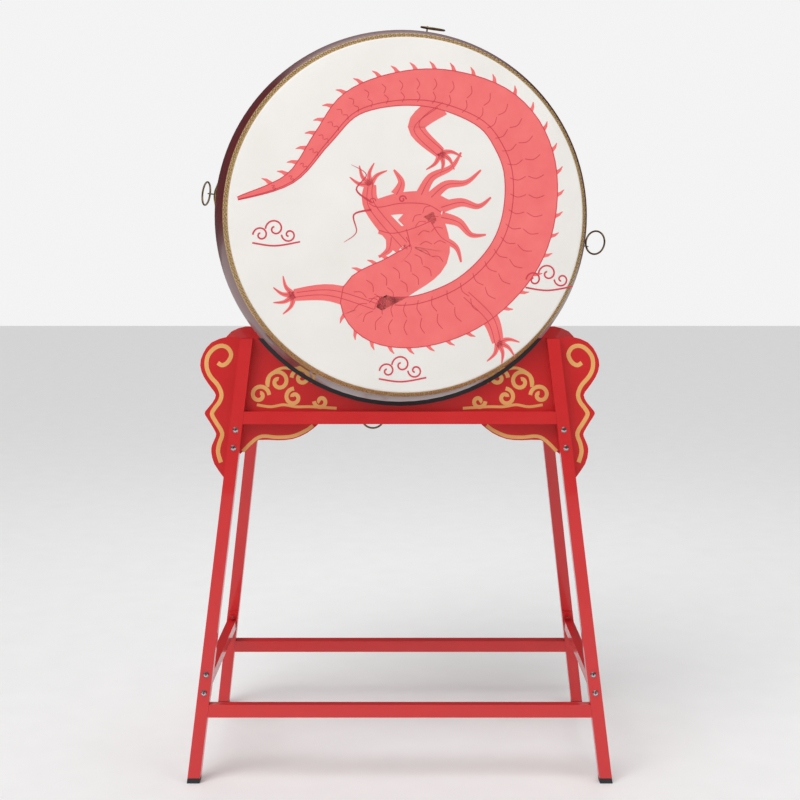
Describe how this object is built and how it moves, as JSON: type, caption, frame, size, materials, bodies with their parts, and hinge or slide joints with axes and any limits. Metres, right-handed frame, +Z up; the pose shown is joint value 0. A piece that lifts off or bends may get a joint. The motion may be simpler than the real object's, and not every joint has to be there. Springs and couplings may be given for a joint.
{
  "type": "barrel drum on stand",
  "caption": "Large barrel drum with nailed hide heads and ring pulls, lying in the rubber-lined arcs of a red steel trestle stand.",
  "frame": {"origin": "on the floor, under the middle of the bounding box (the stand's middle is 5.4 mm to its -X side)", "axes": "+Z up, -Y the side that the front head faces, +X to the right in the front view"},
  "size_m": [0.871, 0.5194, 1.5374],
  "materials": {
    "red_paint": "glossy enamel",
    "black_rubber": "matte",
    "bolt_steel": "zinc plated",
    "shell_lacquer": "high gloss lacquer",
    "hide": "stretched rawhide, matte",
    "rosette_brass": "aged",
    "dark_iron": "dark, oiled"
  },
  "bodies": {
    "stand": {"bolt_front_left_lower_a": "bolt_steel", "bolt_front_left_lower_b": "bolt_steel", "bolt_front_left_upper_a": "bolt_steel", "bolt_front_left_upper_b": "bolt_steel", "bolt_front_right_lower_a": "bolt_steel", "bolt_front_right_lower_b": "bolt_steel", "bolt_front_right_upper_a": "bolt_steel", "bolt_front_right_upper_b": "bolt_steel", "bolt_rear_left_lower_a": "bolt_steel", "bolt_rear_left_lower_b": "bolt_steel", "bolt_rear_left_upper_a": "bolt_steel", "bolt_rear_left_upper_b": "bolt_steel", "bolt_rear_right_lower_a": "bolt_steel", "bolt_rear_right_lower_b": "bolt_steel", "bolt_rear_right_upper_a": "bolt_steel", "bolt_rear_right_upper_b": "bolt_steel", "front_bottom_rail": "red_paint", "front_cradle_trim": "black_rubber", "front_left_foot": "black_rubber", "front_left_leg": "red_paint", "front_panel": "red_paint", "front_panel_tube": "red_paint", "front_right_foot": "black_rubber", "front_right_leg": "red_paint", "lower_left_side_rail": "red_paint", "lower_right_side_rail": "red_paint", "rear_bottom_rail": "red_paint", "rear_cradle_trim": "black_rubber", "rear_left_foot": "black_rubber", "rear_left_leg": "red_paint", "rear_panel": "red_paint", "rear_panel_tube": "red_paint", "rear_right_foot": "black_rubber", "rear_right_leg": "red_paint", "upper_left_side_rail": "red_paint", "upper_right_side_rail": "red_paint"},
    "drum": {"bottom_eye": "dark_iron", "bottom_rosette": "rosette_brass", "drum_shell": "shell_lacquer", "front_head": "hide", "left_eye": "dark_iron", "left_rosette": "rosette_brass", "rear_head": "hide", "right_eye": "dark_iron", "right_rosette": "rosette_brass", "top_eye": "dark_iron", "top_rosette": "rosette_brass"},
    "bottom_ring": {"bottom_ring": "dark_iron"},
    "left_ring": {"left_ring": "dark_iron"},
    "right_ring": {"right_ring": "dark_iron"},
    "top_ring": {"top_ring": "dark_iron"}
  },
  "joints": [
    {"name": "drum_lift", "type": "slide", "parent": "stand", "child": "drum", "axis": [0, 0, 1], "range_m": [0, 0.35]},
    {"name": "top_ring_swing", "type": "hinge", "parent": "drum", "child": "top_ring", "pos_m": [0.05357, 0.0034, 1.53194], "axis": [0.9879, 0.057, -0.1444], "range_deg": [-194, 2]},
    {"name": "right_ring_swing", "type": "hinge", "parent": "drum", "child": "right_ring", "pos_m": [0.39815, 0.02327, 1.06207], "axis": [-0.1579, -0.0091, -0.9874], "range_deg": [-146, 50]},
    {"name": "bottom_ring_swing", "type": "hinge", "parent": "drum", "child": "bottom_ring", "pos_m": [-0.0602, -0.00316, 0.72111], "axis": [-0.9893, -0.057, 0.134], "range_deg": [-98, 98]},
    {"name": "left_ring_swing", "type": "hinge", "parent": "drum", "child": "left_ring", "pos_m": [-0.41137, -0.02341, 1.17459], "axis": [0.1165, 0.0067, 0.9932], "range_deg": [-31, 165]}
  ]
}
